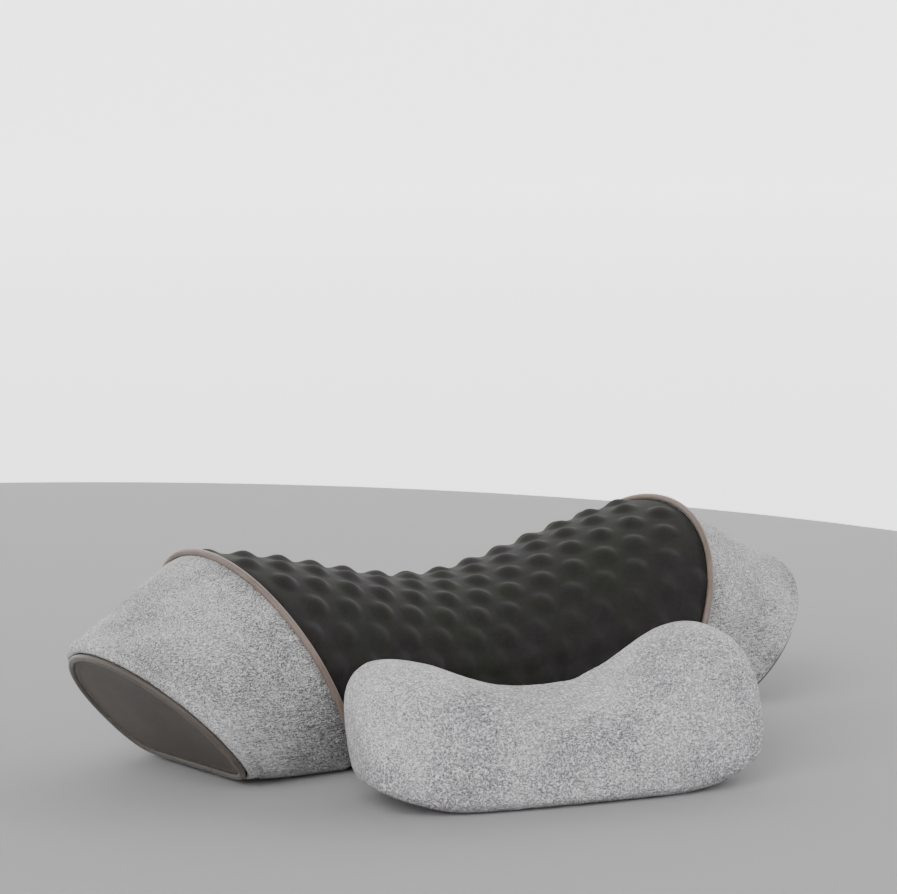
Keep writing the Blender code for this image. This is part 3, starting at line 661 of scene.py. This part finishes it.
CAP_CENTRE = (188.1 * MM, -7.5 * MM, 25.4 * MM)
CAP_CORNER = 18 * MM
SEAM_TO_END = 65 * MM
COVER_SWELL = 1.0 * MM
LIP_SWELL = 2.2 * MM
LIP_SWELL_FROM = 1.55
LIP_SWELL_RUN = 0.35
END_AROUND = 220
END_ALONG = 70
END_FIRST = 1.004
END_LAST = 1.93
END_INSIDE = (1.9, 1.7, 1.5, 1.3, 1.1, END_FIRST)
LIP = (  # radius, lower edge and depth of the turned edge, from outside to in
    (63.1 * MM, -38.0 * MM, -7.6 * MM),
    (63.2 * MM, -36.6 * MM, -5.6 * MM),
    (62.4 * MM, -35.4 * MM, -3.6 * MM),
    (61.0 * MM, -34.4 * MM, -2.3 * MM),
    (59.3 * MM, -33.6 * MM, -1.7 * MM),
    (58.2 * MM, -33.0 * MM, -2.2 * MM),
    (57.9 * MM, -32.7 * MM, -3.4 * MM),
)


def thin_marks(place, scale, width):
    """Short curved fibres: thin lines where a slow noise passes its middle, broken up by another."""
    slow = place.noise(scale, 1.0)
    away = slow.math("ABSOLUTE", slow - 0.5)
    broken = place.noise(scale * 1.7, 1.0, 0.5).clamp(0.50, 0.56)
    return (1.0 - away.clamp(width * 0.4, width)) * broken


def heather_knit(name, dark, light, marks):
    """Melange yarn: fine light and dark fibres in every direction, fine ribs and soft cloudy patches."""
    finish = Finish(name, Sheen_Weight=0.10, Sheen_Roughness=0.6, Specular_IOR_Level=0.15)
    place = finish.place
    lengthwise = place.stretched((950.0, 2600.0, 2400.0), (0.4, 0.0, 0.5)).noise(1.0, 3.0, 0.7)
    crosswise = place.stretched((2500.0, 1000.0, 1700.0), (0.0, 0.5, -0.3)).noise(1.0, 3.0, 0.7)
    speckle = place.noise(2100.0, 3.0, 0.8)
    ribs = place.stretched((150.0, 1500.0, 1500.0), (0.9, 0.35, 0.2)).noise(1.0, 1.0)
    patches = place.noise(24.0, 3.0, 0.55).clamp(0.35, 0.65)
    fine = thin_marks(place, 300.0, 0.045) + thin_marks(place.stretched((1.0, 1.2, 1.1)), 380.0, 0.045)
    fibres = lengthwise * 0.28 + crosswise * 0.26 + speckle * 0.36 + ribs * 0.10
    fibres = fibres + patches * 0.025 - 0.012 + fine * marks
    finish.set("Base Color", fibres.clamp(0.45, 0.575).mix(dark, light))
    finish.set("Roughness", 0.86 + speckle * 0.1)
    finish.set("Normal", fibres.bump(0.0012, 0.7))
    return finish.material


def cap_frame(side):
    """Local X across the end cap, local Y up its slant, local Z straight out of it."""
    lean = math.radians(END[4])
    up = Vector((side * math.sin(lean), 0, math.cos(lean)))
    out = Vector((side * math.cos(lean), 0, -math.sin(lean)))
    turn = Matrix((up.cross(out), up, out)).transposed().to_4x4()
    return Matrix.Translation((side * CAP_CENTRE[0], *CAP_CENTRE[1:])) @ turn


def cap_outline(radius, flat, count):
    """The end cap's D shape in its own plane: round, with a straight lower edge."""
    made = []
    for i in range(count):
        angle = 2 * math.pi * i / count - math.pi / 2
        across = radius * power_cosine(angle, ROUNDNESS)
        up = radius * power_cosine(angle - math.pi / 2, ROUNDNESS)
        made.append((across, soft_floor(up, flat, CAP_CORNER)))
    return made


def lip_ring(side, count, radius, flat, depth):
    """The cap's outline at a depth below its face, in its place."""
    placed = cap_frame(side)
    return [placed @ Vector((x * side, y, depth)) for x, y in cap_outline(radius, flat, count)]


def make_end_cover(side, name, material):
    """One sleeve: from the seam, over the foam and round the lip, then back inside."""
    rings = []
    for i in range(END_ALONG + 1):
        station = mixed(END_FIRST, END_LAST, i / END_ALONG)
        dip = dipped(SEAM_DIP, (station - 1) * SEAM_TO_END, SEAM_WIDTH)
        swell = COVER_SWELL * math.sin(math.pi * (station - 1)) ** 2
        swell += LIP_SWELL * eased((station - LIP_SWELL_FROM) / LIP_SWELL_RUN)
        rings.append(body_ring(side * station, END_AROUND, dip - swell))
    for radius, flat, depth in LIP:
        rings.append(lip_ring(side, END_AROUND, radius, flat, depth))
    for station in END_INSIDE:
        rings.append(body_ring(side * station, END_AROUND, FABRIC))
    cover = mesh_of_rings(f"end_cover_{name}_knit", rings, loop=True)
    finished(cover, material, "pillow", "heather_knit", f"end_cover_{name}")


heather_cover = heather_knit("heather_knit_cover", tone(0.085, 0.085, 0.083), tone(0.86, 0.86, 0.86), 0.03)
for end_name, end_side in (("left", -1), ("right", 1)):
    make_end_cover(end_side, end_name, heather_cover)


# ------------------------------------------------------------------ piping
# Taupe satin piping: a cord in a folded strip, sewn into the seams beside the massage cover and round
# each end cap.

RING_BEAD = 1.8 * MM
CAP_BEAD = 1.9 * MM
RING_FOOT = 3.0 * MM
RING_PROUD = 0.6 * MM
BEAD_POINTS = 180
CAP_BEAD_RADIUS = 56.8 * MM
CAP_BEAD_FLAT = -30.1 * MM
CAP_BEAD_DEPTH = -0.5 * MM


def satin_piping(name, dark, light):
    """Woven satin strip over a cord: fine slanting ribs and a dull shine."""
    finish = Finish(name, Sheen_Weight=0.15, Sheen_Roughness=0.4)
    ribs = finish.place.stretched((900.0, 900.0, 2200.0), (0.5, 0.6, 0.0)).noise(1.0, 2.0)
    wear = finish.place.noise(60.0, 3.0, 0.6)
    colour = (ribs * 0.5 + wear * 0.5).clamp(0.3, 0.7)
    finish.set("Base Color", colour.mix(dark, light))
    finish.set("Roughness", wear * 0.15 + 0.38)
    finish.set("Normal", ribs.bump(0.00012, 0.7))
    return finish.material


def bead(name, path, radius, cyclic):
    """A round cord along a path of points, as a closed mesh."""
    curve = bpy.data.curves.new(name, "CURVE")
    curve.dimensions = "3D"
    curve.bevel_depth = radius
    curve.bevel_resolution = 4
    curve.use_fill_caps = True
    spline = curve.splines.new("POLY")
    spline.points.add(len(path) - 1)
    for point, place in zip(spline.points, path):
        point.co = (*place, 1.0)
    spline.use_cyclic_u = cyclic
    temporary = bpy.data.objects.new(name + "_path", curve)
    bpy.context.scene.collection.objects.link(temporary)
    bpy.context.view_layer.update()
    graph = bpy.context.evaluated_depsgraph_get()
    mesh = bpy.data.meshes.new_from_object(temporary.evaluated_get(graph))
    bpy.data.objects.remove(temporary)
    bm = bmesh.new()
    bm.from_mesh(mesh)
    bmesh.ops.remove_doubles(bm, verts=bm.verts[:], dist=0.00001)
    bmesh.ops.recalc_face_normals(bm, faces=bm.faces[:])
    bm.to_mesh(mesh)
    bm.free()
    mesh.name = name
    mesh.shade_smooth()
    obj = bpy.data.objects.new(name, mesh)
    bpy.context.scene.collection.objects.link(obj)
    return obj


def make_piping(side, name, ring_material, rim_material):
    """The ring in the seam, which ends above the base, and the rim round the end cap."""
    loop = [body_point(side * 1.0, i / BEAD_POINTS, -RING_PROUD) for i in range(BEAD_POINTS)]
    path = [p for p in loop if p.z > RING_FOOT]
    ring = bead(f"ring_piping_{name}_bead", path, RING_BEAD, False)
    finished(ring, ring_material, "pillow", "taupe_piping", f"ring_piping_{name}")
    placed = cap_frame(side)
    outline = cap_outline(CAP_BEAD_RADIUS, CAP_BEAD_FLAT, BEAD_POINTS)
    path = [placed @ Vector((x * side, y, CAP_BEAD_DEPTH)) for x, y in outline]
    rim = bead(f"cap_piping_{name}_bead", path, CAP_BEAD, True)
    finished(rim, rim_material, "pillow", "taupe_piping", f"cap_piping_{name}")


ring_satin = satin_piping("taupe_satin", tone(0.150, 0.112, 0.095), tone(0.235, 0.180, 0.155))
rim_satin = satin_piping("olive_satin", tone(0.070, 0.061, 0.052), tone(0.105, 0.092, 0.079))
for end_name, end_side in (("left", -1), ("right", 1)):
    make_piping(end_side, end_name, ring_satin, rim_satin)


# ------------------------------------------------------------------ end caps and controls
# Flat moulded plates close the ends inside their piping.  The right one carries two push buttons, a
# small light between them and the charging socket.

CAP_RADIUS = 55.4 * MM
CAP_FLAT = -28.7 * MM
CAP_THICK = 3.0 * MM
BUTTON_RADIUS = 7 * MM
BUTTON_SPOTS = {"power_button": (-14 * MM, 14 * MM), "heat_button": (14 * MM, 14 * MM)}
LIGHT_SPOT = (0.0, 14 * MM)
SOCKET_SPOT = (0.0, -12 * MM)
BUTTON_GAP = 0.3 * MM
LIGHT_HOLE = 1.8 * MM
SOCKET_HOLE = (5 * MM, 2.1 * MM)  # half its length and height
HOLE_DEPTHS = (-4 * MM, 1 * MM)
CAP_POINTS = 160
BUTTON_SIDES = 64
SHARP_EDGE = math.radians(40)
CAP_STEPS = (  # how far in from the edge, and how deep, from the back round to the face
    (0.0, -CAP_THICK),
    (0.0, -0.9 * MM),
    (0.25 * MM, -0.35 * MM),
    (0.8 * MM, -0.05 * MM),
    (1.6 * MM, 0.0),
    (3.2 * MM, -0.05 * MM),
    (3.7 * MM, -0.35 * MM),
    (4.6 * MM, -0.45 * MM),
)
BUTTON_PROFILE = (  # radius and height, from the foot of the stem to the middle of the face
    (2.0 * MM, -7 * MM),
    (2.0 * MM, -CAP_THICK),
    (BUTTON_RADIUS, -CAP_THICK),
    (BUTTON_RADIUS, 0.1 * MM),
    (BUTTON_RADIUS - 0.15 * MM, 0.45 * MM),
    (BUTTON_RADIUS - 0.5 * MM, 0.7 * MM),
    (BUTTON_RADIUS - 1.1 * MM, 0.8 * MM),
    (BUTTON_RADIUS - 1.9 * MM, 0.72 * MM),
    (BUTTON_RADIUS - 3.2 * MM, 0.5 * MM),
    (2.6 * MM, 0.42 * MM),
    (2.4 * MM, 0.6 * MM),
    (2.0 * MM, 0.6 * MM),
    (1.8 * MM, 0.4 * MM),
    (0.6 * MM, 0.38 * MM),
)


def cap_plastic(name, dark, light):
    """Soft-touch moulding: a fine even grain and faint handling marks."""
    finish = Finish(name, Specular_IOR_Level=0.4)
    broad = finish.place.noise(22.0, 4.0, 0.6)
    marks = finish.place.stretched((300.0, 60.0, 60.0), (0.3, 0.2, 0.0)).noise(1.0, 3.0, 0.7)
    finish.set("Base Color", (broad * 0.7 + marks * 0.3).clamp(0.3, 0.7).mix(dark, light))
    finish.set("Roughness", marks * 0.14 + 0.46)
    finish.set("Normal", finish.place.noise(2300.0, 2.0).bump(0.00006, 0.6))
    return finish.material


def cylinder_cutter(name, radius, matrix, segments=48):
    """A round drill through the plate at this place."""
    low, high = HOLE_DEPTHS
    bm = bmesh.new()
    bmesh.ops.create_cone(
        bm, cap_ends=True, segments=segments, radius1=radius, radius2=radius, depth=high - low
    )
    bmesh.ops.translate(bm, verts=bm.verts[:], vec=(0, 0, (low + high) / 2))
    bmesh.ops.transform(bm, matrix=matrix, verts=bm.verts[:])
    mesh = bpy.data.meshes.new(name)
    bm.to_mesh(mesh)
    bm.free()
    obj = bpy.data.objects.new(name, mesh)
    bpy.context.scene.collection.objects.link(obj)
    return obj


def slot_ring(half_length, half_height, depth, matrix, count=32):
    """A slot with round ends, as a ring of points at this depth."""
    ring = []
    for i in range(count):
        angle = 2 * math.pi * (i + 0.5) / count
        shift = math.copysign(half_length - half_height, math.cos(angle))
        spot = (half_height * math.cos(angle) + shift, half_height * math.sin(angle), depth)
        ring.append(matrix @ Vector(spot))
    return ring


def cut_away(obj, cutters):
    """Cuts each cutter out of a piece and removes the cutters."""
    for cutter in cutters:
        modifier = obj.modifiers.new(cutter.name, "BOOLEAN")
        modifier.operation = "DIFFERENCE"
        modifier.object = cutter
        modifier.solver = "EXACT"
    plain_mesh(obj)
    for cutter in cutters:
        bpy.data.objects.remove(cutter)


def make_cap(side, name, material):
    """One plate with a soft edge and a shallow inner step, drilled for the controls on the right."""
    placed = cap_frame(side)
    rings = []
    for shrink, depth in CAP_STEPS:
        outline = cap_outline(CAP_RADIUS - shrink, CAP_FLAT + shrink, CAP_POINTS)
        rings.append([placed @ Vector((x * side, y, depth)) for x, y in outline])
    cap = mesh_of_rings(f"end_cap_{name}_plate", rings, caps=True)
    if side > 0:
        cutters = []
        for button, (x, y) in BUTTON_SPOTS.items():
            spot = placed @ Matrix.Translation((x, y, 0))
            cutters.append(cylinder_cutter(f"{button}_hole", BUTTON_RADIUS + BUTTON_GAP, spot))
        spot = placed @ Matrix.Translation((*LIGHT_SPOT, 0))
        cutters.append(cylinder_cutter("light_hole", LIGHT_HOLE, spot, 24))
        spot = placed @ Matrix.Translation((*SOCKET_SPOT, 0))
        rings = [slot_ring(*SOCKET_HOLE, depth, spot) for depth in HOLE_DEPTHS]
        cutters.append(mesh_of_rings("socket_hole", rings, caps=True))
        cut_away(cap, cutters)
    cap.data.set_sharp_from_angle(angle=SHARP_EDGE)
    finished(cap, material, "pillow", "cap_plastic", f"end_cap_{name}")


def make_button(name, spot, material):
    """A dished cap on its stem, with a fine raised ring for the finger to find."""
    placed = cap_frame(1) @ Matrix.Translation((*spot, 0))
    turns = [2 * math.pi * i / BUTTON_SIDES for i in range(BUTTON_SIDES)]
    rings = []
    for r, z in BUTTON_PROFILE:
        ring = [(r * math.cos(turn), r * math.sin(turn), z) for turn in turns]
        rings.append([placed @ Vector(p) for p in ring])
    button = mesh_of_rings(f"{name}_cap", rings, caps=True)
    button.data.set_sharp_from_angle(angle=SHARP_EDGE)
    finished(button, material, name, "button_plastic", name)


def frosted_lens():
    """Milky acrylic over the status light."""
    finish = Finish("frosted_lens", Transmission_Weight=0.4, IOR=1.49)
    haze = finish.place.noise(900.0, 3.0)
    finish.set("Base Color", haze.mix(tone(0.66, 0.72, 0.72), tone(0.86, 0.90, 0.90)))
    finish.set("Roughness", haze * 0.2 + 0.3)
    return finish.material


cap_material = cap_plastic("olive_cap_plastic", tone(0.062, 0.055, 0.047), tone(0.088, 0.079, 0.068))
button_material = cap_plastic("button_plastic", tone(0.10, 0.088, 0.078), tone(0.145, 0.13, 0.115))
for end_name, end_side in (("left", -1), ("right", 1)):
    make_cap(end_side, end_name, cap_material)
for button_name, button_spot in BUTTON_SPOTS.items():
    make_button(button_name, button_spot, button_material)
nodes["status_light"].data.materials.clear()
nodes["status_light"].data.materials.append(frosted_lens())


# ------------------------------------------------------------------ neck pad
# A loose saddle-shaped cushion of shaped foam in the same heather knit, a shade lighter.  Its cover is
# pulled tight, so every edge is round, and its foot is pressed flat by its own weight.

PAD_CENTRE = (-48.5 * MM, -167 * MM)
PAD_TURN = -0.27  # radians about the vertical
PAD_HALF = 109.5 * MM
PAD_DEPTH = 43 * MM
PAD_LOW = 49 * MM
PAD_RISE = (30 * MM, 39 * MM)  # the left end and the higher right end
PAD_RISE_POWER = 2.6
PAD_ROCK = 14 * MM
PAD_FLAT_SHARE = 0.5
PAD_RISE_AT = 0.96
PAD_LEAN = 0.37
PAD_END_POWER = 3.7
PAD_ROUNDNESS = 2.8
PAD_SINK = 11 * MM
PAD_BLEND = 7 * MM
PAD_WEAVE = 4.5 * MM
PAD_START = 0.6 * MM
PAD_SWELL = 2.4 * MM
PAD_PRESSURE = 4.0
PAD_FRAMES = 20
PAD_RINGS = 110
PAD_AROUND = 120
PAD_TIP = 0.985


def pad_ring(along, count, inset):
    """One turn of the cushion, from -1 at its left tip to 1 at its right, leaning back as it rises."""
    end = max(1 - abs(along) ** PAD_END_POWER, 0.0) ** (1 / PAD_END_POWER)
    rise = math.sin(math.pi / 2 * min(abs(along) / PAD_RISE_AT, 1.0)) ** PAD_RISE_POWER
    top = PAD_LOW + PAD_RISE[along > 0] * rise - inset
    bent = max(abs(along) - PAD_FLAT_SHARE, 0.0) / (1 - PAD_FLAT_SHARE)
    floor = inset + PAD_ROCK * bent**2
    height = (top - inset + PAD_SINK) / 2 * end
    centre = (top + inset - PAD_SINK) / 2
    depth = (PAD_DEPTH - inset) * end
    turn = Matrix.Translation((*PAD_CENTRE, 0)) @ Matrix.Rotation(PAD_TURN, 4, "Z")
    ring = []
    for i in range(count):
        angle = 2 * math.pi * i / count - math.pi / 2
        across = depth * power_cosine(angle, PAD_ROUNDNESS)
        up = height * power_cosine(angle - math.pi / 2, PAD_ROUNDNESS)
        lean = PAD_LEAN * (height + up)
        level = soft_floor(centre + up, floor, PAD_BLEND)
        ring.append(turn @ Vector((along * (PAD_HALF - inset), across + lean, level)))
    return ring


def values_of(rows, name):
    """A vector property of every row, as an array of threes."""
    values = np.empty(len(rows) * 3)
    rows.foreach_get(name, values)
    return values.reshape(-1, 3)


def swell_as_cloth(pad):
    """Blows the cover out against its own weave, so that it stands as a filled cushion does."""
    remesh = pad.modifiers.new("even_quads", "REMESH")
    remesh.mode = "VOXEL"
    remesh.voxel_size = PAD_WEAVE
    remesh.use_smooth_shade = True
    plain_mesh(pad)
    before = values_of(pad.data.vertices, "co")
    cloth = pad.modifiers.new("cover", "CLOTH")
    cloth.settings.quality = 5
    cloth.settings.use_pressure = True
    cloth.settings.uniform_pressure_force = PAD_PRESSURE
    cloth.settings.effector_weights.gravity = 0.0
    cloth.point_cache.frame_start = 1
    cloth.point_cache.frame_end = PAD_FRAMES
    scene = bpy.context.scene
    for frame_number in range(1, PAD_FRAMES + 1):
        scene.frame_set(frame_number)
    graph = bpy.context.evaluated_depsgraph_get()
    after = values_of(pad.evaluated_get(graph).data.vertices, "co")
    normals = values_of(pad.data.vertex_normals, "vector")
    moved = np.sum((after - before) * normals, axis=1)
    place = before + normals * np.clip(moved, -PAD_START, PAD_SWELL)[:, None]
    place[:, 2] = np.maximum(place[:, 2], 0.0)
    pad.modifiers.remove(cloth)
    scene.frame_set(1)
    pad.data.vertices.foreach_set("co", place.ravel())
    finer = pad.modifiers.new("finer", "SUBSURF")
    finer.levels = 1
    finer.render_levels = 1
    plain_mesh(pad)
    pad.data.shade_smooth()


def make_neck_pad():
    """The cushion's cover: rings closer together towards the tips, then blown out as cloth."""
    shares = [mixed(-PAD_TIP, PAD_TIP, i / PAD_RINGS) for i in range(PAD_RINGS + 1)]
    inset = PAD_START
    rings = [pad_ring(math.sin(math.pi / 2 * share), PAD_AROUND, inset) for share in shares]
    pad = mesh_of_rings("neck_pad_knit", rings, caps=True)
    swell_as_cloth(pad)
    material = heather_knit("heather_knit_pad", tone(0.100, 0.096, 0.103), tone(0.86, 0.84, 0.865), 0.075)
    finished(pad, material, "neck_pad", "heather_knit", "neck_pad_cover")


make_neck_pad()

bpy.context.view_layer.update()
